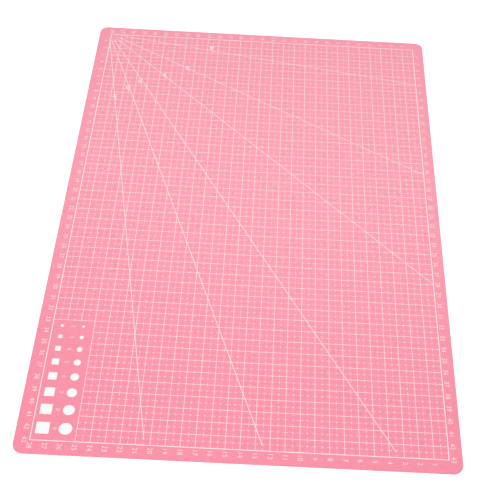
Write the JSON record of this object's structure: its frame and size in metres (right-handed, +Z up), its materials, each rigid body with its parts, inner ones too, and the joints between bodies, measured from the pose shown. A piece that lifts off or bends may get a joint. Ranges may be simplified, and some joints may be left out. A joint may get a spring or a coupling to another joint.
{
  "type": "cutting mat",
  "caption": "Flat rectangular self-healing cutting mat with round corners, made of bonded plies, with a measuring grid, angle lines and size templates printed on top.",
  "frame": {"origin": "centre of the underside, where the mat lies on a table", "axes": "+Z up through the printed face, +Y along the long side away from the size templates, +X to the right as the templates lie at the near left"},
  "size_m": [0.3, 0.45, 0.0016],
  "materials": {
    "healing_skin": "soft calendered PVC, fine matte grain",
    "cushion": "soft PVC, cut edge",
    "core": "stiff PVC, cut edge",
    "ink": "screen-printed white ink"
  },
  "bodies": {
    "root": {"bottom_skin": "healing_skin", "bottom_cushion": "cushion", "core": "core", "top_cushion": "cushion", "top_skin": "healing_skin", "border_line": "ink", "lines_across": "ink", "lines_along": "ink", "angle_lines": "ink", "template_squares": "ink", "template_discs": "ink"}
  },
  "joints": []
}
